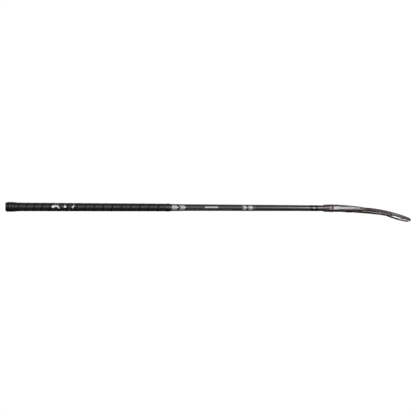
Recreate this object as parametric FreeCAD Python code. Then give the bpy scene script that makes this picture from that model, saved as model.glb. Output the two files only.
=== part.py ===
import FreeCAD, Part
import math
import os

# Floorball stick: a tapered composite shaft with a wound grip, and a moulded blade screwed to it.
# Millimetres. +X runs down the shaft from the flat butt end at X = 0 to the blade.
# The blade reaches out to +Y, and its hollow forehand face looks to -Z.

Vec = FreeCAD.Vector

# Overall sizes
shaft_end = 960.0            # butt face to the lower end of the tube
grip_length = 461.0          # butt face to the lower end of the wound strip
blade_length = 249.0         # heel corner to the end of the toe, along the sole
blade_height = 70.0          # sole to top edge
blade_angle = 58.0           # sole from the shaft's line, degrees

# Tube
tube_wall = 1.25
glue_line = 0.05             # under the strip, the tape and the films
tube_top_radius = 11.0
tube_grip_end_radius = 10.2
tube_belly_radius = 9.7
tube_low_radius = 8.56
tube_tip_radius = 8.5
tube_top_straight = 57.0     # parallel length at the butt
belly_after_grip = 60.0      # from the end of the strip to the quick part of the taper's end
tip_straight = 75.0          # parallel length that enters the blade
low_taper = 25.0

# Butt end: plug, soft collar and wound strip
plug_flange = 3.0
plug_flange_radius = 12.4
plug_edge_round = 1.6
plug_depth = 26.0
plug_clearance = 0.1
plug_wall = 2.0
plug_grooves = 3
plug_groove = 0.35
plug_groove_width = 2.0
plug_groove_pitch = 5.5
knob_radius = 14.3
knob_shoulder = 2.2          # rounding at the end of the knob
knob_straight_end = 20.0
knob_taper = 9.0             # run of each step down from the knob
knob_taper_drop = 1.0
knob_end = 37.0
knob_foot = 0.4              # collar thickness where it ends
collar_clearance = 0.05
strip_thickness = 1.45       # near the knob, with its overlap
strip_end_thickness = 0.95
tape_overlap = 4.0           # tape on the strip's end
tape_thickness = 0.35
tape_step_length = 6.0
tape_low_length = 6.5
tape_step_slope = 1.0

# Blade neck: walls are measured from the socket outwards
neck_length = 56.5           # tube inside the neck
neck_clearance = 0.05
seat_gap = 0.3
neck_mouth_wall = 1.45
neck_mouth_rise = 0.35
neck_ramp = 1.2
neck_collar_wall = 2.3
neck_collar_rise = 13.0      # mouth to the collar's full radius
neck_collar_length = 20.0
neck_rib_wall = 2.7
neck_rib_width = 7.5
neck_body_wall = 1.9
neck_second_rib_wall = 2.25
neck_second_rib_start = 34.5
neck_second_rib_width = 7.0
neck_root_wall = 1.7
neck_web_start = 45.0        # where the blade's sheet begins inside the neck
neck_web_inset = 0.6
boss_half_width = 5.3
boss_wall = 2.55
boss_length = 31.0
boss_round = 1.0
boss_end_round = 3.5

# Screw
screw_from_mouth = 27.5
screw_radius = 1.5
screw_head_radius = 3.0
screw_head_height = 1.4
screw_head_clearance = 0.2
screw_head_sunk = 0.2
screw_reach = 1.0            # past the tube's inner wall
screw_hole_clearance = 0.05
recess_arm = 1.8
recess_width = 0.8
recess_depth = 0.8

# Blade body
heel_from_mouth = 128.4      # neck's mouth to the heel corner, where the sole meets the neck's line
rim_thickness = 10.0
rim_toe_thickness = 8.8
rim_width = 7.8
rim_round = 2.4
web_thickness = 3.2
web_start = 20.0             # solid heel before the recessed web
web_corner = 9.0
heel_round = 34.0
crotch_round = 22.0
toe_low_round = 30.0
toe_top_round = 36.0
hook_start = -3.4            # height of the sole's middle line at the heel
hook_slope = 0.041
hook_curve = 0.00037
twist_heel = -4.7            # top edge against the sole at the heel
twist_slope = 0.0277
twist_curve = 0.000229
cup_depth = 3.0
toe_dip = 5.0                # extra drop of the toe's upper part
toe_dip_start = 195.0
toe_dip_run = 50.0
heel_lift = 6.0              # raises the sheet to the neck's line behind the heel
heel_lift_start = -8.0
heel_lift_run = 30.0
slot_rows = 2
slot_pitch = 25.5
slot_width = 18.0
slot_height = 19.0
slot_lean = 7.0
slot_round = 4.0
slot_start_gap = 6.0         # recess edge to the first opening
sheet_margin = 20.0          # how far the curved sheets run past the outline
sheet_neck_reach = 90.0      # how far they run back along the sole's line
sheet_rows = 18
sheet_columns = 9

# Printed films
film_thickness = 0.12
chevron_sweep = 9.0
top_block_gap = 0.5          # after the finishing tape
top_block_length = 20.0
top_chevron_gap = 3.5        # clear shaft between the block's point and the chevron's notch
top_chevron_length = 16.5
bar_gap = 92.5               # after the finishing tape
bar_length = 40.0
bar_width = 5.4
bar_lean = 2.0
mid_sweep = 7.2
mid_gap = 71.5               # after the bar
mid_chevron_length = 10.0
mid_arrow_gap = 4.0
mid_arrow_length = 14.0
band_to_mouth = 36.5         # start of the band to the neck's mouth
band_length = 22.0
band_arrow_gap = 8.0
band_arrow_length = 8.0
band_arrow_sweep = 4.0
band_arrow_half_width = 4.2

socket_radius = tube_tip_radius + neck_clearance
neck_root_radius = socket_radius + neck_root_wall
boss_face = socket_radius + boss_wall
mouth = shaft_end - neck_length
tape_end = grip_length + tape_step_length + tape_low_length
top_block_start = tape_end + top_block_gap
top_chevron_start = top_block_start + top_block_length + top_chevron_gap
bar_start = tape_end + bar_gap
mid_chevron_start = bar_start + bar_length + mid_gap
mid_arrow_start = mid_chevron_start + mid_chevron_length + mid_arrow_gap
band_start = mouth - band_to_mouth
band_arrow_start = band_start + band_arrow_gap
tip_start = shaft_end - tip_straight
tube_stations = [
    (plug_flange, tube_top_radius),
    (tube_top_straight, tube_top_radius),
    (tape_end, tube_grip_end_radius),
    (grip_length + belly_after_grip, tube_belly_radius),
    (tip_start - low_taper, tube_low_radius),
    (tip_start, tube_tip_radius),
    (shaft_end, tube_tip_radius),
]


def tube_radius(x):
    """Outer radius of the tube at a place along it."""
    for (x0, r0), (x1, r1) in zip(tube_stations, tube_stations[1:]):
        if x <= x1:
            return r0 + (r1 - r0) * (x - x0) / (x1 - x0)
    return tube_tip_radius


def inner_stations(start, end):
    """Tube stations strictly between two places, for profiles that follow the tube."""
    return [x for x, r in tube_stations if start < x < end]


def tube_line(start, end, offset=0.0):
    """Profile points (x, radius) along the tube's surface, moved out by an offset."""
    places = [start] + inner_stations(start, end) + [end]
    return [(x, tube_radius(x) + offset) for x in places]


def turned(profile):
    """Solid of revolution about X from a closed outline of (x, radius)."""
    points = [Vec(x, 0, r) for x, r in profile]
    face = Part.Face(Part.makePolygon(points + points[:1]))
    return face.revolve(Vec(0, 0, 0), Vec(1, 0, 0), 360)


def rod(x0, x1, radius):
    return Part.makeCylinder(radius, x1 - x0, Vec(x0, 0, 0), Vec(1, 0, 0))


def edges_at(shape, test):
    return [edge for edge in shape.Edges if test(edge)]


# ---- Shaft ----

def make_shaft_tube():
    outer = tube_line(plug_flange, shaft_end)
    inner = [(x, r - tube_wall) for x, r in reversed(outer)]
    tube = turned(outer + inner)
    screw_x = mouth + screw_from_mouth
    pilot = Part.makeCylinder(screw_radius + screw_hole_clearance, boss_face, Vec(screw_x, 0, 0), Vec(0, -1, 0))
    return tube.cut(pilot)


def make_end_plug():
    flange = rod(0, plug_flange, plug_flange_radius)
    rim = edges_at(flange, lambda edge: edge.BoundBox.XMax < 0.01 and edge.BoundBox.XLength < 0.01)
    flange = flange.makeFillet(plug_edge_round, rim)
    stem_radius = tube_top_radius - tube_wall - plug_clearance
    stem = rod(plug_flange, plug_depth, stem_radius)
    for i in range(plug_grooves):
        place = plug_flange + (i + 1) * plug_groove_pitch
        end = place + plug_groove_width
        stem = stem.cut(rod(place, end, stem_radius).cut(rod(place, end, stem_radius - plug_groove)))
    hollow = rod(2 * plug_flange, plug_depth, stem_radius - plug_wall)
    return flange.fuse(stem).cut(hollow).removeSplitter()


def strip_outline():
    """Outer line of the wound strip, from the butt to the finishing tape."""
    settled = knob_end + knob_taper
    return [
        (plug_flange, knob_radius - knob_shoulder * 0.55),
        (plug_flange + knob_shoulder * 0.35, knob_radius - knob_shoulder * 0.2),
        (plug_flange + knob_shoulder, knob_radius),
        (knob_straight_end, knob_radius),
        (knob_straight_end + knob_taper, knob_radius - knob_taper_drop),
        (knob_end, tube_radius(knob_end) + strip_thickness + knob_foot),
        (settled, tube_radius(settled) + strip_thickness),
        (grip_length, tube_radius(grip_length) + strip_end_thickness),
    ]


def collar_outline(offset=0.0):
    """Outer line of the soft collar that makes the knob."""
    top = knob_radius - strip_thickness + offset
    return [
        (plug_flange, top),
        (knob_straight_end, top),
        (knob_straight_end + knob_taper, top - knob_taper_drop),
        (knob_end, tube_radius(knob_end) + knob_foot + offset),
    ]


def make_knob_collar():
    bore = tube_top_radius + collar_clearance
    return turned(collar_outline() + [(knob_end, bore), (plug_flange, bore)])


def make_grip_wrap():
    inside = collar_outline(glue_line) + tube_line(knob_end, grip_length, glue_line)
    return turned(strip_outline() + list(reversed(inside)))


def make_finishing_tape():
    """Tape that starts on the strip's end and steps down on to the tube."""
    (x0, r0), (x1, r1) = strip_outline()[-2:]
    start = grip_length - tape_overlap
    start_radius = r0 + (r1 - r0) * (start - x0) / (x1 - x0)
    step = grip_length + tape_step_length
    outer = [(start, start_radius), (grip_length, r1), (step, r1)]
    outer += [(step + tape_step_slope, tube_radius(step)), (tape_end, tube_radius(tape_end))]
    inner = [(start, start_radius), (grip_length, r1)] + tube_line(grip_length, tape_end)
    inner = [(x, r + glue_line) for x, r in inner]
    return turned([(x, r + glue_line + tape_thickness) for x, r in outer] + list(reversed(inner)))


# ---- Printed films ----

def film(start, end):
    """Closed film one print thick over a stretch of the tube."""
    base = tube_line(start, end, glue_line)
    return turned([(x, r + film_thickness) for x, r in base] + list(reversed(base)))


def side_prism(points):
    """Prism through the tube from an outline in side view (x, z)."""
    reach = 2 * tube_top_radius
    corners = [Vec(x, -reach, z) for x, z in points]
    return Part.Face(Part.makePolygon(corners + corners[:1])).extrude(Vec(0, 2 * reach, 0))


def chevron(start, length, sweep, half=tube_top_radius, flat_back=False):
    """Arrow-shaped outline that points down the shaft."""
    back = [(start - sweep, half), (start, 0), (start - sweep, -half)]
    if flat_back:
        back = [(start, half), (start, -half)]
    tip = start + length
    front = [(tip - sweep, -half), (tip, 0), (tip - sweep, half)]
    return side_prism(back + front)


def printed(start, end, prism):
    return film(start, end).common(prism)


def make_upper_chevrons():
    sweep = chevron_sweep
    block = printed(top_block_start, top_block_start + top_block_length,
                    chevron(top_block_start, top_block_length, sweep, flat_back=True))
    second = printed(top_chevron_start - sweep, top_chevron_start + top_chevron_length,
                     chevron(top_chevron_start, top_chevron_length, sweep))
    return Part.makeCompound(block.Solids + second.Solids)


def make_name_bar():
    half = bar_width / 2
    end = bar_start + bar_length
    outline = [(bar_start, -half), (end - bar_lean, -half), (end, half), (bar_start + bar_lean, half)]
    reach = tube_top_radius
    near = Part.makeBox(bar_length, reach, 2 * reach, Vec(bar_start, -reach, -reach))
    return printed(bar_start, end, side_prism(outline)).common(near)


def make_mid_arrows():
    sweep = mid_sweep
    first = printed(mid_chevron_start - sweep, mid_chevron_start + mid_chevron_length,
                    chevron(mid_chevron_start, mid_chevron_length, sweep))
    second = printed(mid_arrow_start, mid_arrow_start + mid_arrow_length,
                     chevron(mid_arrow_start, mid_arrow_length, sweep, flat_back=True))
    return Part.makeCompound(first.Solids + second.Solids)


def band_arrow_prism():
    return chevron(band_arrow_start, band_arrow_length, band_arrow_sweep, band_arrow_half_width, True)


def make_arrow_band():
    return film(band_start, band_start + band_length).cut(band_arrow_prism())


def make_band_arrow():
    arrow = printed(band_arrow_start, band_arrow_start + band_arrow_length, band_arrow_prism())
    return Part.makeCompound(arrow.Solids)


# ---- Blade ----
# (t, h) run along the sole from the heel corner and up to the top edge.

heel_angle = math.radians(blade_angle)
along = Vec(math.cos(heel_angle), math.sin(heel_angle), 0)
upward = Vec(-math.sin(heel_angle), math.cos(heel_angle), 0)
prism_reach = 2 * blade_height
heel = Vec(mouth + heel_from_mouth, -neck_root_radius, 0)


def plane_point(t, h, z=0.0):
    return heel + along * t + upward * h + Vec(0, 0, z)


def eased(share):
    """Smooth step from 0 to 1."""
    share = min(max(share, 0.0), 1.0)
    return share * share * (3 - 2 * share)


def middle_height(t, h):
    """Height of the blade's middle surface: hook along it, twist and cup across it."""
    share = h / blade_height
    hook = hook_start - hook_slope * t - hook_curve * t * t
    twist = share * (twist_heel + twist_slope * t + twist_curve * t * t)
    fade = max(0.0, 1 - (t / blade_length) ** 2)
    cup = cup_depth * fade * max(-1.0, 1 - (2 * share - 1) ** 2)
    dip = toe_dip * eased((t - toe_dip_start) / toe_dip_run) * (1 - (1 - share) ** 3)
    lift = heel_lift * eased((heel_lift_start - t) / heel_lift_run)
    return hook + twist + cup - dip + lift


def rim_half(t):
    return (rim_thickness + (rim_toe_thickness - rim_thickness) * t / blade_length) / 2


def curved_sheet(offset):
    """Spline surface at a distance from the middle surface."""
    t_step = (blade_length + sheet_margin + sheet_neck_reach) / (sheet_rows - 1)
    h_step = (blade_height + 2 * sheet_margin) / (sheet_columns - 1)
    rows = []
    for i in range(sheet_rows):
        t = i * t_step - sheet_neck_reach
        places = [j * h_step - sheet_margin for j in range(sheet_columns)]
        rows.append([plane_point(t, h, middle_height(t, h) + offset(t)) for h in places])
    surface = Part.BSplineSurface()
    surface.interpolate(rows)
    return surface.toShape()


def curved_slab(half):
    """Slab with curved faces, as far above and below the middle surface as half says."""
    above = curved_sheet(lambda t: -half(t)).extrude(Vec(0, 0, 2 * prism_reach))
    below = curved_sheet(half).extrude(Vec(0, 0, -2 * prism_reach))
    return above.common(below)


def rounded_wire(corners):
    """Closed flat wire from (point, radius) corners, each rounded with an arc unless its radius is 0."""
    count = len(corners)
    starts, ends, edges = [], [], []
    for i in range(count):
        point, radius = corners[i]
        before = (corners[i - 1][0] - point).normalize()
        after = (corners[(i + 1) % count][0] - point).normalize()
        half_turn = before.getAngle(after) / 2
        tangent = radius / math.tan(half_turn)
        starts.append(point + before * tangent)
        ends.append(point + after * tangent)
        if radius:
            middle = point + (before + after).normalize() * (radius / math.sin(half_turn) - radius)
            edges.append(Part.Arc(starts[i], middle, ends[i]).toShape())
        if i:
            edges.append(Part.makeLine(ends[i - 1], starts[i]))
    edges.append(Part.makeLine(ends[-1], starts[0]))
    return Part.Wire(Part.__sortEdges__(edges))


def upright(wire):
    """Tall prism through a flat wire."""
    face = Part.Face(wire)
    face.translate(Vec(0, 0, -prism_reach))
    return face.extrude(Vec(0, 0, 2 * prism_reach))


def blade_outline():
    neck_side = neck_root_radius - neck_web_inset
    start = mouth + neck_web_start
    top_corner_t = (neck_side + neck_root_radius - blade_height * upward.y) / along.y
    crotch = plane_point(top_corner_t, blade_height)
    return rounded_wire([
        (Vec(start, -neck_side, 0), 0),
        (Vec(heel.x, -neck_side, 0), heel_round),
        (plane_point(blade_length, 0), toe_low_round),
        (plane_point(blade_length, blade_height), toe_top_round),
        (Vec(crotch.x, neck_side, 0), crotch_round),
        (Vec(start, neck_side, 0), 0),
    ])


def slot_wire(t, h):
    """Leaning opening in the web, centred at a place."""
    wide, high, lean = slot_width / 2, slot_height / 2, slot_lean / 2
    return rounded_wire([
        (plane_point(t - wide - lean, h - high), slot_round),
        (plane_point(t + wide - lean, h - high), slot_round),
        (plane_point(t + wide + lean, h + high), slot_round),
        (plane_point(t - wide + lean, h + high), slot_round),
    ])


def neck_section(x, y, half_width, height, half_height):
    """Closed oval section across the shaft's line."""
    count = 16
    points = []
    for i in range(count):
        turn = 2 * math.pi * i / count
        points.append(Vec(x, y + half_width * math.cos(turn), height + half_height * math.sin(turn)))
    curve = Part.BSplineCurve()
    curve.interpolate(points, PeriodicFlag=True)
    return Part.Wire(curve.toShape())


def make_neck():
    """Outside of the neck: a turned sleeve, then a loft that flattens into the heel."""
    rib = mouth + neck_collar_length
    rib_end = rib + neck_rib_width
    second = mouth + neck_second_rib_start
    second_end = second + neck_second_rib_width
    root = second + neck_second_rib_width / 2
    ramp = neck_ramp
    walls = [
        (mouth, neck_mouth_wall), (mouth + 2 * ramp, neck_mouth_wall + neck_mouth_rise),
        (mouth + neck_collar_rise, neck_collar_wall), (rib, neck_collar_wall),
        (rib + ramp, neck_rib_wall), (rib_end, neck_rib_wall),
        (rib_end + ramp, neck_body_wall), (second - ramp, neck_body_wall),
        (second, neck_second_rib_wall), (second_end, neck_second_rib_wall),
        (second_end + ramp, neck_root_wall - ramp),
    ]
    outline = [(x, socket_radius + wall) for x, wall in walls]
    sleeve = turned([(mouth, 0)] + outline + [(second_end + ramp, 0)])
    length = heel.x - root
    spread = neck_root_radius
    stations = [             # share of the way to the heel, side shift, width, height, thickness
        (0.00, 0.0, 1.00, 0.0, 1.00),
        (0.12, 0.0, 1.00, -0.3, 1.00),
        (0.34, 0.2, 1.00, -1.5, 0.98),
        (0.60, 1.0, 1.00, -2.3, 0.86),
        (0.82, 3.5, 0.95, -3.0, 0.64),
        (0.98, 8.5, 0.80, -3.4, 0.40),
    ]
    loft = Part.makeLoft([neck_section(root + share * length, shift, wide * spread, height, thick * spread)
                          for share, shift, wide, height, thick in stations], True, False)
    boss = Part.makeBox(boss_length, boss_face, 2 * boss_half_width, Vec(rib, -boss_face, -boss_half_width))
    ends = edges_at(boss, lambda edge: edge.BoundBox.YLength > boss_face - 0.01)
    boss = boss.makeFillet(boss_end_round, ends)
    face_edges = edges_at(boss, lambda edge: edge.BoundBox.YMax < -boss_face + 0.01)
    boss = boss.makeFillet(boss_round, face_edges)
    return sleeve.fuse(loft).fuse(boss)


def pocket_outline():
    """Inner edge of the rim, round the recessed web."""
    end = blade_length - rim_width
    low, high = rim_width, blade_height - rim_width
    return rounded_wire([
        (plane_point(web_start, low), web_corner),
        (plane_point(end, low), toe_low_round - rim_width),
        (plane_point(end, high), toe_top_round - rim_width),
        (plane_point(web_start, high), web_corner),
    ])


def make_rim():
    """Thick rounded edge of the blade with its solid heel."""
    plate = curved_slab(rim_half).common(upright(blade_outline()))
    rim = plate.cut(upright(pocket_outline()))
    long_edges = edges_at(rim, lambda edge: edge.BoundBox.XMax > mouth + neck_length
                          and abs(edge.tangentAt(edge.FirstParameter).z) < 0.9)
    return rim.makeFillet(rim_round, long_edges)


def make_web():
    """Thin openwork sheet inside the rim."""
    web = curved_slab(lambda t: web_thickness / 2).common(upright(pocket_outline()))
    row_gap = (blade_height - 2 * rim_width) / slot_rows
    room = blade_length - rim_width - web_start - slot_start_gap
    for row in range(slot_rows):
        h = rim_width + row_gap * (row + 0.5)
        first = web_start + slot_start_gap + slot_width / 2 + slot_lean * (row + 0.5)
        for i in range(int(room / slot_pitch) - row):
            web = web.cut(upright(slot_wire(first + i * slot_pitch, h)))
    return web


def make_blade_node():
    blade = make_rim().fuse(make_web()).fuse(make_neck())
    blade = blade.cut(rod(mouth - 1.0, shaft_end + seat_gap, socket_radius))
    screw_x = mouth + screw_from_mouth
    out = Vec(0, -1, 0)
    hole = Part.makeCylinder(screw_radius + screw_hole_clearance, 2 * boss_face, Vec(screw_x, 0, 0), out)
    floor = boss_face - screw_head_sunk - screw_head_height
    sink_radius = screw_head_radius + screw_head_clearance
    counterbore = Part.makeCylinder(sink_radius, boss_face, Vec(screw_x, -floor, 0), out)
    return blade.cut(hole).cut(counterbore).removeSplitter()


def make_blade_screw():
    screw_x = mouth + screw_from_mouth
    out = Vec(0, -1, 0)
    seat = boss_face - screw_head_sunk - screw_head_height
    tip = tube_tip_radius - tube_wall - screw_reach
    head = Part.makeCylinder(screw_head_radius, screw_head_height, Vec(screw_x, -seat, 0), out)
    top_edge = edges_at(head, lambda edge: edge.BoundBox.YMax < -seat - screw_head_height + 0.01)
    head = head.makeFillet(screw_head_height * 0.4, top_edge)
    shank = Part.makeCylinder(screw_radius, seat - tip, Vec(screw_x, -tip, 0), out)
    face = seat + screw_head_height
    cross = []
    for dx, dz in ((recess_arm, recess_width / 2), (recess_width / 2, recess_arm)):
        cross.append(Part.makeBox(2 * dx, recess_depth, 2 * dz, Vec(screw_x - dx, -face, -dz)))
    return head.fuse(shank).cut(cross[0].fuse(cross[1])).removeSplitter()


nodes = {
    "shaft_tube": make_shaft_tube,
    "end_plug": make_end_plug,
    "knob_collar": make_knob_collar,
    "grip_wrap": make_grip_wrap,
    "finishing_tape": make_finishing_tape,
    "upper_chevrons": make_upper_chevrons,
    "name_bar": make_name_bar,
    "mid_arrows": make_mid_arrows,
    "arrow_band": make_arrow_band,
    "band_arrow": make_band_arrow,
    "blade": make_blade_node,
    "blade_screw": make_blade_screw,
}

os.makedirs("parts", exist_ok=True)
for name, make in nodes.items():
    shape = make()
    shape.exportStep(f"parts/{name}.step")
    print(f"{name}: {len(shape.Solids)} solids, {shape.Volume:.0f} mm3, valid {shape.isValid()}")
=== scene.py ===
import math

import bmesh
import bpy
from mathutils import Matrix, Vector


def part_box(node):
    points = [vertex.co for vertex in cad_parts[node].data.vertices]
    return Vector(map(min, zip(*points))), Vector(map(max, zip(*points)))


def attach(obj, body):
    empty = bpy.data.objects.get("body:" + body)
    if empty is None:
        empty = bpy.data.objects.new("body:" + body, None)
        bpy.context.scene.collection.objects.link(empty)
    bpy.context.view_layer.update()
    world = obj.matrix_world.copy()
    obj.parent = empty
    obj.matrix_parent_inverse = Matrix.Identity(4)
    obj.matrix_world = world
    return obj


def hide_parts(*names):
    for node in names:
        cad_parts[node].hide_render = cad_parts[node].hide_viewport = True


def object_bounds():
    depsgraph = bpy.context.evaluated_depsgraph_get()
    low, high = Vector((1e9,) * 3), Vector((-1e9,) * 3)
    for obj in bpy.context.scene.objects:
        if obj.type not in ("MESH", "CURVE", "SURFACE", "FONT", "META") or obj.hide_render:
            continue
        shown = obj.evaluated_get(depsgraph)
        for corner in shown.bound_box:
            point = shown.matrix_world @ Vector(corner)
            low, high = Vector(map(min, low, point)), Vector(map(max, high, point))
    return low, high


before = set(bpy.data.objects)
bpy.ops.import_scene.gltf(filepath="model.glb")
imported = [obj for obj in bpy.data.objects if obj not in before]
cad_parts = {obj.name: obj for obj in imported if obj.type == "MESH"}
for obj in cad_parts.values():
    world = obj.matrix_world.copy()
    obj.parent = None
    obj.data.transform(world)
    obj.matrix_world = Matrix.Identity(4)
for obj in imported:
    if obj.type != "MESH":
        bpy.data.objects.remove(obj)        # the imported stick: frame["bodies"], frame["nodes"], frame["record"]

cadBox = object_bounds()
mm = 0.001
fullTurn = 2 * math.pi


class Wire:
    # one output socket that adds Math nodes when it is used in an expression
    def __init__(self, finish, socket):
        self.finish = finish
        self.socket = socket

    def math(self, operation, *others):
        inputs = dict(enumerate((self,) + others))
        return self.finish.node("ShaderNodeMath", {"operation": operation}, inputs)

    def turned(self, operation, other):
        return self.finish.node("ShaderNodeMath", {"operation": operation}, {0: other, 1: self})

    def __add__(self, other):
        return self.math("ADD", other)

    def __radd__(self, other):
        return self.math("ADD", other)

    def __sub__(self, other):
        return self.math("SUBTRACT", other)

    def __rsub__(self, other):
        return self.turned("SUBTRACT", other)

    def __mul__(self, other):
        return self.math("MULTIPLY", other)

    def __rmul__(self, other):
        return self.math("MULTIPLY", other)

    def __truediv__(self, other):
        return self.math("DIVIDE", other)

    def __rtruediv__(self, other):
        return self.turned("DIVIDE", other)

    def __neg__(self):
        return self.math("MULTIPLY", -1.0)

    def __abs__(self):
        return self.math("ABSOLUTE")

    def ramp(self, low, high, toLow=0.0, toHigh=1.0):
        # smooth change from toLow to toHigh while the value goes from low to high
        return self.finish.node("ShaderNodeMapRange", {"interpolation_type": "SMOOTHSTEP"},
                                {"Value": self, "From Min": low, "From Max": high,
                                 "To Min": toLow, "To Max": toHigh})

    def between(self, low, high, soft=0.3):
        # 1 between two values and 0 outside them
        return self.ramp(low - soft, low + soft) * self.ramp(high + soft, high - soft)

    def repeat(self, pitch):
        # goes from 0 to 1 over each pitch
        return (self / pitch).math("FRACT")

    def most(self, other):
        return self.math("MAXIMUM", other)


class Finish:
    # a material and the few calls that fill its node tree
    def __init__(self, name, **fixed):
        self.material = bpy.data.materials.new(name)
        self.material.use_nodes = True
        self.tree = self.material.node_tree
        self.shader = self.tree.nodes["Principled BSDF"]
        self.show(**fixed)

    def feed(self, socket, value):
        if isinstance(value, Wire):
            self.tree.links.new(value.socket, socket)
        else:
            socket.default_value = value

    def node(self, kind, settings=None, inputs=None, out=0):
        made = self.tree.nodes.new(kind)
        for key, value in (settings or {}).items():
            setattr(made, key, value)
        for key, value in (inputs or {}).items():
            self.feed(made.inputs[key], value)
        return Wire(self, made.outputs[out])

    def place(self):
        # Object coordinates in millimetres
        where = self.node("ShaderNodeTexCoord", out="Object")
        return self.node("ShaderNodeVectorMath", {"operation": "SCALE"}, {0: where, "Scale": 1 / mm})

    def axes(self, vector):
        split = self.tree.nodes.new("ShaderNodeSeparateXYZ")
        self.feed(split.inputs[0], vector)
        return [Wire(self, output) for output in split.outputs]

    def joined(self, x, y, z):
        return self.node("ShaderNodeCombineXYZ", inputs={0: x, 1: y, 2: z})

    def noise(self, vector, scale, detail=3.0, roughness=0.55):
        return self.node("ShaderNodeTexNoise", inputs={"Vector": vector, "Scale": scale, "Detail": detail,
                                                       "Roughness": roughness})

    def mix(self, share, first, second):
        return self.node("ShaderNodeMix", {"data_type": "RGBA"}, {0: share, 6: first, 7: second}, out=2)

    def bump(self, height, strength, distance, normal=None):
        inputs = {"Height": height, "Strength": strength, "Distance": distance}
        if normal is not None:
            inputs["Normal"] = normal
        return self.node("ShaderNodeBump", inputs=inputs)

    def show(self, **sockets):
        for socket, value in sockets.items():
            self.feed(self.shader.inputs[socket.replace("_", " ")], value)
        return self.material


def tint(red, green=None, blue=None):
    # a colour, or a grey when only one level is given
    return (red, red if green is None else green, red if blue is None else blue, 1.0)


def aroundShaft(y, z):
    # the angle round the shaft's axis in radians, 0 at the front
    return z.math("ARCTAN2", -y)


def frontHalf(y):
    # 1 on the side that faces the front and 0 on the back, so that a mark shows on one side only
    return (-y).ramp(0.0, 1.0)


def stroke(x, z, start, end, low, high, lean=0.0):
    # 1 inside a bar that leans along the stick as it rises
    return (x + z * lean).between(start, end) * z.between(low, high)


def oval(x, z, middle, height, halfLength, halfHeight):
    # 1 inside an oval with a soft edge
    reach = ((x - middle) / halfLength).math("POWER", 2.0) + ((z - height) / halfHeight).math("POWER", 2.0)
    return reach.ramp(1.15, 0.85)


def anyOf(masks):
    # the highest of several masks
    highest = masks[0]
    for mask in masks[1:]:
        highest = highest.most(mask)
    return highest


def dress(node, material):
    # gives a CAD node its finish
    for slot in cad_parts[node].material_slots:
        slot.material = material


def lookUp(table, place):
    # straight-line value between the entries of a table
    for (x0, y0), (x1, y1) in zip(table, table[1:]):
        if place <= x1:
            break
    return y0 + (y1 - y0) * (place - x0) / (x1 - x0)


def addObject(name, bm, material):
    mesh = bpy.data.meshes.new(name)
    bm.to_mesh(mesh)
    bm.free()
    thing = bpy.data.objects.new(name, mesh)
    bpy.context.scene.collection.objects.link(thing)
    mesh.materials.append(material)
    return thing


# the stage is plain white, and only the camera sees it; lengths are metres and the roll is degrees
stageLook = {"floorSize": 60.0, "floorDrop": 0.0005, "domeRadius": 40.0, "domeSegments": 32, "white": 1.02}
cameraLook = {"distance": 6.0, "widthSeen": 1.1827, "middle": (0.5763, 0.0, -0.0010), "roll": 0.237,
              "farthest": 200.0}
studioLook = {"colour": (1.0, 0.955, 0.955), "roomGlow": 0.055}
lightLook = {
    "frontSoftbox": {"size": (3.0, 1.4), "place": (0.62, -1.65, 0.52), "aim": (0.62, 0.0, 0.0),
                     "power": 40.0},
    "bladeSoftbox": {"size": (0.7, 0.6), "place": (0.98, -1.5, 0.30), "aim": (0.95, 0.0, 0.0), "power": 7.0},
    "topStrip": {"size": (2.6, 0.5), "place": (0.60, 0.75, 1.25), "aim": (0.62, 0.0, 0.0), "power": 4.6},
    "sideStrip": {"size": (0.05, 0.30), "place": (1.60, 0.33, -0.02), "aim": (1.13, 0.10, -0.02),
                  "power": 0.3},
    "toeLight": {"size": (0.18, 0.10), "place": (1.06, 1.30, -0.47), "aim": (1.12, 0.10, -0.025),
                 "power": 0.8},
    "backSoftbox": {"size": (3.0, 0.9), "place": (0.62, 1.60, 0.80), "aim": (0.62, 0.1, 0.0), "power": 16.0},
}


def makeStageWhite():
    finish = Finish("paleStage")
    glow = finish.node("ShaderNodeEmission", inputs={"Color": tint(1.0), "Strength": stageLook["white"]})
    finish.feed(finish.tree.nodes["Material Output"].inputs["Surface"], glow)
    return finish.material


def onlySeen(thing):
    # throws no light and no shadow of its own on the stick
    thing.visible_diffuse = False
    thing.visible_glossy = False
    thing.visible_transmission = False
    thing.visible_shadow = False
    return thing


def makeStage():
    look = stageLook
    white = makeStageWhite()
    bm = bmesh.new()
    bmesh.ops.create_grid(bm, x_segments=1, y_segments=1, size=look["floorSize"] / 2)
    bmesh.ops.translate(bm, verts=bm.verts, vec=(0, 0, cadBox[0].z - look["floorDrop"]))
    floor = onlySeen(addObject("floor", bm, white))
    bm = bmesh.new()
    bmesh.ops.create_uvsphere(bm, u_segments=look["domeSegments"], v_segments=look["domeSegments"] // 2,
                              radius=look["domeRadius"])
    bmesh.ops.reverse_faces(bm, faces=bm.faces)        # the dome is seen from inside
    backdrop = onlySeen(addObject("backdrop", bm, white))


def makeCamera():
    # looks along +y, level, from straight in front of the stick's side
    look = cameraLook
    data = bpy.data.cameras.new("camera")
    data.type = "ORTHO"
    data.ortho_scale = look["widthSeen"]
    data.clip_end = look["farthest"]
    camera = bpy.data.objects.new("camera", data)
    bpy.context.scene.collection.objects.link(camera)
    camera.location = Vector(look["middle"]) + Vector((0, -look["distance"], 0))
    camera.rotation_euler = (math.radians(90), math.radians(-look["roll"]), 0)
    bpy.context.scene.camera = camera


def makeLight(name, look):
    data = bpy.data.lights.new(name, "AREA")
    data.shape = "RECTANGLE"
    data.size, data.size_y = look["size"]
    data.energy = look["power"]
    data.color = studioLook["colour"]
    light = bpy.data.objects.new(name, data)
    bpy.context.scene.collection.objects.link(light)
    light.location = look["place"]
    aim = Vector(look["aim"]) - Vector(look["place"])
    light.rotation_euler = aim.to_track_quat("-Z", "Y").to_euler()
    light.visible_camera = False


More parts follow.
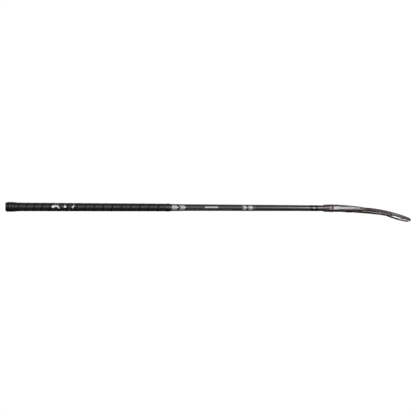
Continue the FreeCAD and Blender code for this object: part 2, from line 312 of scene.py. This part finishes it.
def makeWorld():
    world = bpy.data.worlds.new("studio")
    bpy.context.scene.world = world
    world.use_nodes = True
    background = world.node_tree.nodes["Background"]
    background.inputs["Color"].default_value = tint(*studioLook["colour"])
    background.inputs["Strength"].default_value = studioLook["roomGlow"]


makeStage()
makeCamera()
makeWorld()
for lightName, lightSettings in lightLook.items():
    makeLight(lightName, lightSettings)
bpy.context.scene.view_settings.view_transform = "Standard"
print("stage, camera and lights are set")


# wound grip strip: seams are (turn, mm along the shaft), outlines (mm along, radius in mm), and the profile
# across the strip is (share of a turn, height as a share of the overlap)
gripLook = {
    "seams": ((-2, -10.6), (3, 37.5), (7, 128.5), (13, 279.0), (19, 436.0), (22, 514.5)),
    "profile": ((0.0, 0.0), (0.005, 0.8), (0.022, 1.0), (0.11, 0.98), (0.19, 0.6), (0.3, 0.38),
                (0.45, 0.36), (0.62, 0.33), (0.78, 0.24), (0.91, 0.1), (1.0, 0.0)),
    "segments": 80,
    "overlap": 0.46,
    "fadeLength": 12.0,        # the step at each seam dies out over this length at the tape
    "outline": ((3.0, 13.09), (3.77, 13.86), (5.2, 14.3), (22.0, 14.3), (29.0, 13.5), (36.0, 12.95),
                (46.0, 12.65), (450.0, 11.42), (456.5, 11.2), (461.0, 11.17)),
    "inside": ((20.0, 12.9), (29.0, 11.9), (36.9, 11.45), (37.1, 11.05), (57.0, 11.05)),
    "mouthRadius": 12.9,
    "mouthGap": 0.05,          # clear of the plug's flange
    "endRadius": 10.28,
    "sharpAngle": 42.0,
}
mergeReach = 1e-4              # of a turn
samePlace = 1e-5               # metres
onPlane = 1e-7                 # metres


def windTurns(bm, firstTurn, turns):
    # spins the profile into one turn of a spiral and repeats it; x counts turns, and the radius is 1 to 2
    look = gripLook
    row = [bm.verts.new((firstTurn + share, -1.0 - height, 0)) for share, height in look["profile"]]
    edges = [bm.edges.new(pair) for pair in zip(row, row[1:])]
    bmesh.ops.spin(bm, geom=row + edges, cent=(0, 0, 0), axis=(1, 0, 0), dvec=(1 / look["segments"], 0, 0),
                   angle=-fullTurn, steps=look["segments"], use_merge=False)
    oneTurn = bm.verts[:] + bm.edges[:] + bm.faces[:]
    for turn in range(1, turns):
        copied = bmesh.ops.duplicate(bm, geom=oneTurn)["geom"]
        moved = [part for part in copied if isinstance(part, bmesh.types.BMVert)]
        bmesh.ops.translate(bm, verts=moved, vec=(turn, 0, 0))
    bmesh.ops.remove_doubles(bm, verts=bm.verts, dist=mergeReach)


def fitToShaft(bm, endPlace):
    # moves the turns to the seams' places and to the outline's radius, in metres
    look = gripLook
    for vert in bm.verts:
        reach = math.hypot(vert.co.y, vert.co.z)
        place = lookUp(look["seams"], vert.co.x)
        fade = min(1.0, max(0.0, (endPlace - place) / look["fadeLength"]))
        radius = lookUp(look["outline"], place) - (2.0 - reach) * look["overlap"] * fade
        vert.co = Vector((place, vert.co.y / reach * radius, vert.co.z / reach * radius)) * mm


def cutAway(bm, place, direction):
    # removes what lies past a place, on the side that the direction points to
    bmesh.ops.bisect_plane(bm, geom=bm.verts[:] + bm.edges[:] + bm.faces[:], dist=onPlane,
                           plane_co=(place, 0, 0), plane_no=(direction, 0, 0), clear_outer=True)


def openLoop(bm, place):
    # the open edges that a cut left at a place
    return [edge for edge in bm.edges if edge.is_boundary and abs(edge.verts[0].co.x - place) < samePlace]


def ringTo(bm, edges, place, radius):
    # extrudes an open edge loop and sets the new ring to a place and a radius
    made = bmesh.ops.extrude_edge_only(bm, edges=edges)["geom"]
    verts = [part for part in made if isinstance(part, bmesh.types.BMVert)]
    for vert in verts:
        around = Vector((0, vert.co.y, vert.co.z)).normalized() * radius
        vert.co = Vector((place, around.y, around.z))
    ring = set(verts)
    return [part for part in made if isinstance(part, bmesh.types.BMEdge) and set(part.verts) <= ring]


def closeStrip(bm, mouth, end):
    # trims both ends, adds the mouth, the inner wall's start and the thin end, and bridges the last two
    look = gripLook
    cutAway(bm, mouth, -1)
    cutAway(bm, end, 1)
    startLoop = openLoop(bm, mouth)
    endLoop = openLoop(bm, end)
    inner = ringTo(bm, startLoop, mouth, look["mouthRadius"] * mm)
    for place, radius in look["inside"]:
        inner = ringTo(bm, inner, place * mm, radius * mm)
    outer = ringTo(bm, endLoop, end, look["endRadius"] * mm)
    bmesh.ops.bridge_loops(bm, edges=inner + outer)
    bmesh.ops.recalc_face_normals(bm, faces=bm.faces)


def makeGripStrip(material):
    look = gripLook
    low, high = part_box("grip_wrap")
    firstTurn = look["seams"][0][0]
    lastTurn = look["seams"][-1][0]
    bm = bmesh.new()
    windTurns(bm, firstTurn, lastTurn - firstTurn)
    fitToShaft(bm, high.x / mm)
    closeStrip(bm, low.x + look["mouthGap"] * mm, high.x)
    for face in bm.faces:
        face.smooth = True
    strip = addObject("gripStrip", bm, material)
    strip.data.set_sharp_from_angle(angle=math.radians(look["sharpAngle"]))
    turnAt = tuple((place, turn) for turn, place in look["seams"])
    turnNumber = strip.data.attributes.new("turnNumber", "FLOAT", "POINT")
    turnNumber.data.foreach_set("value", [lookUp(turnAt, vert.co.x / mm) for vert in strip.data.vertices])
    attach(strip, "root")
    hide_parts("grip_wrap")


# ovals are (middle, height, half length, half height) and strokes (start, end, low, high, lean), in mm
gripFinish = {
    "dark": tint(0.0078, 0.0066, 0.0070), "worn": tint(0.019, 0.0168, 0.0178),
    "creaseShade": tint(0.0014, 0.0012, 0.0012), "mark": tint(0.78, 0.81, 0.84),
    "faintMark": tint(0.15, 0.115, 0.11),
    "specular": 0.12, "sheen": 0.46, "sheenRoughness": 0.38,
    "knobEnd": (34.0, 40.0), "creaseWidth": (0.36, 0.17),        # share of a turn, on the knob and past it
    "ridgeWearAndHighlight": (0.02, 0.15),                                       # part just past a seam, painted lighter as rubbed wear and as a highlight
    "ovals": ((135.9, 0.9, 4.6, 3.2), (169.7, 1.0, 3.4, 3.0)),
    "strokes": ((137.0, 149.0, 1.3, 4.2, 0.0), (148.6, 152.6, -3.8, 4.4, 0.5),
                (190.2, 194.2, -2.6, 4.6, -0.55)),
    "faintStrokes": ((181.6, 185.4, -9.6, -6.0, -0.2), (139.0, 156.5, 6.2, 9.0, 0.3),
                     (170.5, 175.5, 6.2, 9.0, 0.4), (190.5, 194.5, 6.2, 9.0, -0.4)),
}


def makeGripRubber():
    look = gripFinish
    rubber = Finish("gripRubber", Specular_IOR_Level=look["specular"], Coat_Roughness=look["sheenRoughness"])
    place = rubber.place()
    x, y, z = rubber.axes(place)
    turn = rubber.node("ShaderNodeAttribute", {"attribute_name": "turnNumber"}, out="Fac")
    across = (turn - aroundShaft(y, z) / fullTurn).math("FRACT")       # 0 at a seam and 1 at the next one
    # painted shade darkens the rubber on both sides of a seam, mostly before it
    width = x.ramp(*look["knobEnd"], *look["creaseWidth"])
    creaseShade = across.ramp(1.0 - width, 1.0 - width * 0.35).most(across.ramp(width * 0.3, 0.0))
    ridgeWearAndHighlight = across.between(*look["ridgeWearAndHighlight"], 0.02)
    cloudy = rubber.noise(place, 0.09, 4.0)
    grain = rubber.noise(place, 1.5, 4.0, 0.7)
    pebble = rubber.node("ShaderNodeTexVoronoi", inputs={"Vector": place, "Scale": 0.9})
    # lighter where the rubber is cloudy or grainy, and on the ridge past each seam, which is partly wear and
    # partly a painted highlight
    toneWearAndHighlight = cloudy.ramp(0.42, 0.66) * 0.5 + ridgeWearAndHighlight * 0.35 + grain.ramp(0.55, 0.75) * 0.25
    colour = rubber.mix(toneWearAndHighlight, look["dark"], look["worn"])
    # painted shade: the rubber goes near black in the creases at the seams
    colour = rubber.mix(creaseShade * 0.95, colour, look["creaseShade"])
    front = frontHalf(y)
    marks = [oval(x, z, *size) for size in look["ovals"]]
    marks = anyOf(marks + [stroke(x, z, *size) for size in look["strokes"]])
    faint = anyOf([stroke(x, z, *size) for size in look["faintStrokes"]])
    colour = rubber.mix(faint * front * 0.8, colour, look["faintMark"])
    colour = rubber.mix(marks * front * grain.ramp(0.34, 0.44), colour, look["mark"])
    rough = 0.34 + grain * 0.10 + cloudy * 0.08 + creaseShade * 0.45
    sheen = (1.0 - creaseShade * 0.78) * (cloudy * 0.3 + 0.85) * look["sheen"]
    fine = rubber.bump(pebble * 0.6 + grain * 0.5, 0.5, 0.0003)
    return rubber.show(Base_Color=colour, Roughness=rough, Coat_Weight=sheen, Normal=fine)


# spans run along the shaft and heights across its front, in mm
shaftFinish = {
    "lacquer": tint(0.0125, 0.0113, 0.0110), "fibre": tint(0.025, 0.0228, 0.0220),
    "coolGrey": tint(0.0150, 0.0165, 0.0175), "tick": tint(0.22),
    "smallPrint": tint(0.095, 0.091, 0.089), "dots": tint(0.002),
    "coatRoughness": 0.10,
    "matteEnd": 690.0, "glossStart": 950.0,
    "tickSpans": ((709.0, 709.9), (710.6, 711.4)), "tickLean": 0.32, "tickHeight": (-7.0, 7.0),
    "smallPrintBox": (516.0, 650.0, -9.2, -5.4),
    "dotBox": (752.0, 838.0, -7.6, -6.4), "dotPitch": 5.2,
    "barEdgeInset": 2.0, "barEdgeHeight": (2.5, 3.6),
}


def makeShaftLacquer():
    look = shaftFinish
    lacquer = Finish("shaftLacquer", Coat_Roughness=look["coatRoughness"])
    x, y, z = lacquer.axes(lacquer.place())
    angle = aroundShaft(y, z)
    front = frontHalf(y)
    gloss = x.ramp(look["matteEnd"], look["glossStart"])
    fibre = lacquer.noise(lacquer.joined(x * 0.05, angle * 14.0, 0.0), 1.0, 5.0, 0.65)
    wound = lacquer.noise(lacquer.joined(x * 0.35 + angle * 6.0, x * 0.35 - angle * 6.0, 0.0), 1.0, 3.0, 0.5)
    pattern = fibre.ramp(0.40, 0.64) * 0.65 + wound.ramp(0.45, 0.65) * 0.35
    colour = lacquer.mix(pattern, look["lacquer"], look["fibre"])
    colour = lacquer.mix(gloss * 0.7, colour, look["coolGrey"])
    firstTick, secondTick = look["tickSpans"]
    lean = z * look["tickLean"]
    ticks = (x - lean).between(*firstTick, 0.2).most((x + lean).between(*secondTick, 0.2))
    colour = lacquer.mix(ticks * front * z.between(*look["tickHeight"]) * 0.55, colour, look["tick"])
    gaps = lacquer.noise(lacquer.joined(x * 0.075, 3.0, 0.0), 1.0, 2.0).ramp(0.40, 0.46)
    smallPrint = stroke(x, z, *look["smallPrintBox"]) * gaps * front
    colour = lacquer.mix(smallPrint * 0.85, colour, look["smallPrint"])
    barLow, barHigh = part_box("name_bar")
    barSpan = x.between(barLow.x / mm + look["barEdgeInset"], barHigh.x / mm)
    barEdge = z.between(*look["barEdgeHeight"], 0.2) * barSpan * front
    colour = lacquer.mix(barEdge * 0.8, colour, look["tick"])
    dots = stroke(x, z, *look["dotBox"]) * front * x.repeat(look["dotPitch"]).between(0.3, 0.6)
    colour = lacquer.mix(dots * 0.8, colour, look["dots"])
    scratches = lacquer.noise(lacquer.joined(x * 0.02, angle * 60.0, 7.0), 1.0, 2.0).ramp(0.66, 0.72)
    rough = gloss * -0.12 + 0.42 + fibre * 0.08 + scratches * 0.10
    grain = lacquer.bump(fibre * 0.6 + wound * 0.4, 0.10, 0.00012)
    return lacquer.show(Base_Color=colour, Roughness=rough, Coat_Weight=gloss * 0.95 + 0.05, Normal=grain)


plugFinish = {"plastic": tint(0.010, 0.0095, 0.0095), "dust": tint(0.026, 0.025, 0.024), "specular": 0.4,
              "ringPitch": 1.9, "ringReach": (3.0, 10.5)}


def makePlugPlastic():
    # moulded end cap with rings sunk into its face
    look = plugFinish
    plastic = Finish("plugPlastic", Specular_IOR_Level=look["specular"])
    place = plastic.place()
    y, z = plastic.axes(place)[1:]
    radius = (y * y + z * z).math("SQRT")
    rings = radius.repeat(look["ringPitch"]).between(0.42, 0.58, 0.05) * radius.between(*look["ringReach"])
    dust = plastic.noise(place, 0.5, 5.0, 0.7)
    colour = plastic.mix(dust.ramp(0.5, 0.75) * 0.5, look["plastic"], look["dust"])
    relief = plastic.bump(dust * 0.12 - rings, 0.5, 0.0003)
    return plastic.show(Base_Color=colour, Roughness=dust * 0.2 + 0.38, Normal=relief)


collarFinish = {"rubber": tint(0.009), "worn": tint(0.018, 0.017, 0.017), "specular": 0.3}


def makeCollarRubber():
    look = collarFinish
    rubber = Finish("collarRubber", Specular_IOR_Level=look["specular"])
    grain = rubber.noise(rubber.place(), 1.2, 5.0, 0.7)
    colour = rubber.mix(grain.ramp(0.4, 0.7), look["rubber"], look["worn"])
    fine = rubber.bump(grain, 0.3, 0.0003)
    return rubber.show(Base_Color=colour, Roughness=grain * 0.15 + 0.6, Normal=fine)


# spans run along the shaft and the height across its front, in mm
tapeFinish = {"vinyl": tint(0.006, 0.0055, 0.0055), "worn": tint(0.014, 0.013, 0.013),
              "paintedTapeHighlight": tint(0.125, 0.125, 0.132), "layerEdges": ((460.4, 461.2), (466.6, 468.0)),
              "tapeHighlightSpan": (466.8, 469.4), "tapeHighlightHeight": (-2.6, 3.8)}


def makeTapeVinyl():
    look = tapeFinish
    tape = Finish("tapeVinyl")
    x, y, z = tape.axes(tape.place())
    wrinkle = tape.noise(tape.joined(x * 1.1, aroundShaft(y, z) * 1.6, 0.0), 1.0, 4.0, 0.6)
    edges = anyOf([x.between(*span) for span in look["layerEdges"]])
    colour = tape.mix(wrinkle.ramp(0.4, 0.7) * 0.6, look["vinyl"], look["worn"])
    # painted highlight: a pale patch on the front of the tape near its raised edge, broken up by the wrinkles
    paintedTapeHighlight = x.between(*look["tapeHighlightSpan"], 1.2) * z.between(*look["tapeHighlightHeight"], 2.6) * frontHalf(y)
    colour = tape.mix(paintedTapeHighlight * wrinkle.ramp(0.25, 0.5), colour, look["paintedTapeHighlight"])
    return tape.show(Base_Color=colour, Roughness=wrinkle * 0.12 + 0.32 - edges * 0.04,
                     Normal=tape.bump(wrinkle + edges * 0.5, 0.45, 0.0003))


# heights of painted shade and cores are in mm, notches are lengths in mm, and the sweep is a slope
printFinish = {
    # the silver print's border colour is also its painted shade towards the top and bottom
    "silverPrint": {"ink": tint(0.35, 0.36, 0.372), "under": tint(0.16, 0.16, 0.162), "metal": 0.22,
                    "rough": 0.38, "fade": (3.0, 9.5), "border": tint(0.035, 0.032, 0.032),
                    "notchFromEnd": 14.4, "notchWidth": 6.8, "notchSweep": 0.88},
    "greyPrint": {"ink": tint(0.335, 0.35, 0.36), "under": tint(0.15, 0.145, 0.14), "metal": 0.15,
                  "rough": 0.36, "core": (-1.4, 3.2), "border": tint(0.018, 0.016, 0.016)},
    "arrowPrint": {"ink": tint(0.265, 0.275, 0.285), "under": tint(0.16), "metal": 0.0,
                   "rough": 0.34, "core": (-1.7, 2.7), "border": tint(0.0022)},
    "blackPrint": {"ink": tint(0.0022), "under": tint(0.005, 0.0045, 0.0045), "metal": 0.0, "rough": 0.22},
}


def makePrint(name):
    # a screen-printed film: painted shade darkens it towards the top and bottom, a notch is a dark gap
    # in the chevrons, and a core keeps it pale only between two heights
    look = printFinish[name]
    film = Finish(name, Metallic=look["metal"])
    place = film.place()
    x, y, z = film.axes(place)
    flake = film.noise(place, 3.2, 3.0, 0.7)
    brushed = film.noise(film.joined(x * 0.05, aroundShaft(y, z) * 30.0, 0.0), 1.0, 4.0, 0.6)
    rub = film.noise(place, 0.35, 5.0, 0.7).ramp(0.60, 0.72)
    colour = film.mix(flake.ramp(0.35, 0.7, 0.0, 0.3) + rub * 0.35, look["ink"], look["under"])
    if "fade" in look:
        # painted shade: the silver darkens towards the top and bottom of the shaft
        colour = film.mix(abs(z).ramp(*look["fade"]) * 0.75, colour, look["border"])
    if "notchFromEnd" in look:
        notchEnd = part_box("upper_chevrons")[1].x / mm - look["notchFromEnd"]
        swept = x + abs(z) * look["notchSweep"]
        colour = film.mix(swept.between(notchEnd - look["notchWidth"], notchEnd), colour, look["border"])
    if "core" in look:
        colour = film.mix(z.between(*look["core"]), look["border"], colour)
    rough = flake * 0.12 + brushed * 0.08 + (look["rough"] - 0.08)
    fine = film.bump(brushed + flake * 0.3, 0.08, 0.0001)
    return film.show(Base_Color=colour, Roughness=rough, Normal=fine)


# moulded blade, in mm: spans run along the shaft from the neck's mouth, and heights are z, except that
# along and up lie in the blade's own plane, which the heel's reach and side and the angle place
bladeFinish = {
    "heelReach": 128.4, "heelSide": -10.25, "angle": 58.0,
    "plastic": tint(0.051, 0.042, 0.039), "pale": tint(0.082, 0.069, 0.065),
    "dirt": tint(0.020, 0.014, 0.011), "redBrownShade": tint(0.011, 0.0072, 0.0055),
    "scuff": tint(0.20, 0.19, 0.185), "mark": tint(0.39, 0.40, 0.41), "markInk": tint(0.10),
    "specular": 0.5,
    "neckSpan": (60.0, 30.0), "grimeAlong": (-40.0, 20.0), "glossAlong": (90.0, 130.0),
    "soleUp": (2.6, 0.2), "soleAlong": (10.0, 60.0),
    "toeBandSpan": (196.0, 214.5), "toeBandMiddle": (201.5, -17.3), "toeBandSlope": 0.215,
    "edgeLineSpan": (19.6, 22.4), "edgeLineHeight": (-4.5, 5.5),
    "panelSpan": (31.0, 104.0), "panelHeight": (-2.6, 6.0), "panelLean": 0.25, "panelFade": (82.0, 96.0),
    "barSpan": (63.0, 99.0), "barHeight": (-2.6, 2.6), "barPitch": 3.3,
    "shadeHeight": (-4.5, -7.5), "shadeSpan": (150.0, 90.0),
}


def makeBladePlastic():
    look = bladeFinish
    plastic = Finish("bladePlastic", Specular_IOR_Level=look["specular"])
    place = plastic.place()
    x, y, z = plastic.axes(place)
    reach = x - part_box("blade")[0].x / mm
    cosine = math.cos(math.radians(look["angle"]))
    sine = math.sin(math.radians(look["angle"]))
    fromHeel = reach - look["heelReach"]
    side = y - look["heelSide"]
    along = fromHeel * cosine + side * sine
    up = side * cosine - fromHeel * sine

    # the plastic itself: cloudy, streaked along the blade and grimy
    cloudy = plastic.noise(place, 0.045, 5.0, 0.6)
    moulded = plastic.noise(place, 1.1, 6.0, 0.72)
    streaks = plastic.noise(plastic.joined(along * 0.03, up * 0.25, z * 0.25), 1.0, 4.0, 0.6)
    clouds = cloudy.ramp(0.38, 0.64) * 0.6 + streaks.ramp(0.4, 0.65) * 0.4
    colour = plastic.mix(clouds, look["plastic"], look["pale"])
    grime = plastic.noise(place, 0.16, 6.0, 0.7).ramp(0.55, 0.72) * along.ramp(*look["grimeAlong"])
    colour = plastic.mix(grime * 0.35, colour, look["dirt"])

    # wear: cuts in the sole; and a pale band on the toe, partly rubbed wear and partly a painted highlight
    sole = up.ramp(*look["soleUp"]) * along.ramp(*look["soleAlong"])
    cuts = plastic.noise(plastic.joined(along * 0.05, up * 2.2, z * 1.4), 1.0, 3.0, 0.7).ramp(0.56, 0.66)
    colour = plastic.mix(sole * cuts * 0.75, colour, look["scuff"])
    # the toe band follows the rim's highlight line: partly rubbed wear, partly a painted highlight
    bandReach, bandHeight = look["toeBandMiddle"]
    offBand = z - bandHeight + (reach - bandReach) * look["toeBandSlope"]
    band = abs(offBand).ramp(2.0, 0.9) * reach.between(*look["toeBandSpan"], 1.5) * up.ramp(3.0, 1.0)
    toeRubAndHighlight = band * plastic.noise(place, 0.5, 4.0, 0.7).ramp(0.40, 0.56)
    colour = plastic.mix(toeRubAndHighlight * 0.85, colour, look["mark"])

    # the neck's pale line, and its pale panel with plain bars, which is print and a painted highlight on the flat
    # face
    lineHeight = z.between(*look["edgeLineHeight"], 0.4) * (-y).ramp(4.0, 6.0)
    edgeLine = reach.between(*look["edgeLineSpan"], 0.4) * lineHeight
    colour = plastic.mix(edgeLine * 0.8, colour, look["mark"])
    # the pale panel on the front flat face is partly print and partly a painted highlight, dimmed over its far
    # end
    face = (-y).ramp(8.6, 9.6) * z.between(*look["panelHeight"], 0.25)
    printAndHighlightPanel = (reach - z * look["panelLean"]).between(*look["panelSpan"], 0.5) * face
    printAndHighlightPanel = printAndHighlightPanel * plastic.noise(place, 1.6, 3.0).ramp(0.30, 0.40)
    printAndHighlightPanel = printAndHighlightPanel * reach.ramp(*look["panelFade"], 0.95, 0.5)
    bars = x.repeat(look["barPitch"]).between(0.22, 0.6, 0.05) * reach.between(*look["barSpan"])
    barGaps = plastic.noise(plastic.joined(x * 0.35, 2.0, 0.0), 1.0).ramp(0.40, 0.5)
    bars = bars * z.between(*look["barHeight"], 0.2) * barGaps
    colour = plastic.mix(printAndHighlightPanel, colour, look["mark"])
    colour = plastic.mix(printAndHighlightPanel * bars * 0.7, colour, look["markInk"])

    # a dirtier neck, and a darker underside: painted shade tinted with the plastic's red-brown
    neck = reach.ramp(*look["neckSpan"])
    colour = plastic.mix(neck * (1.0 - printAndHighlightPanel) * 0.25, colour, look["dirt"])
    # painted shade: the lower side of the neck and heel darkens to a red-brown
    shade = z.ramp(*look["shadeHeight"]) * reach.ramp(*look["shadeSpan"])
    colour = plastic.mix(shade * 0.8, colour, look["redBrownShade"])

    # smoother on the neck and towards the toe, with a fine moulded texture and raised cuts
    polish = (along.ramp(*look["glossAlong"]) * 0.12).most(neck * 0.25)
    rough = 0.34 + moulded * 0.14 + grime * 0.2 - polish
    texture = plastic.bump(moulded, 0.22, 0.00025)
    texture = plastic.bump(cuts * sole, 0.35, 0.0003, texture)
    return plastic.show(Base_Color=colour, Roughness=rough, Normal=texture)


screwFinish = {"dark": tint(0.050, 0.048, 0.046), "bright": tint(0.10, 0.096, 0.092),
               "grooves": (1.0, 8.0, 1.0)}


def makeScrewSteel():
    look = screwFinish
    steel = Finish("screwSteel", Metallic=1.0)
    drawn = steel.node("ShaderNodeMapping", inputs={"Vector": steel.place(), "Scale": look["grooves"]})
    lathe = steel.noise(drawn, 1.5, 4.0, 0.6)
    colour = steel.mix(lathe.ramp(0.4, 0.7), look["dark"], look["bright"])
    fine = steel.bump(lathe, 0.15, 0.0002)
    return steel.show(Base_Color=colour, Roughness=lathe * 0.2 + 0.28, Normal=fine)


makeGripStrip(makeGripRubber())
print("grip strip is wound")

finishes = {
    "shaft_tube": makeShaftLacquer(),
    "end_plug": makePlugPlastic(),
    "knob_collar": makeCollarRubber(),
    "finishing_tape": makeTapeVinyl(),
    "upper_chevrons": makePrint("silverPrint"),
    "name_bar": makePrint("greyPrint"),
    "arrow_band": makePrint("blackPrint"),
    "band_arrow": makePrint("arrowPrint"),
    "blade": makeBladePlastic(),
    "blade_screw": makeScrewSteel(),
}
finishes["mid_arrows"] = finishes["upper_chevrons"]
for nodeName, material in finishes.items():
    dress(nodeName, material)
print("finishes are on")
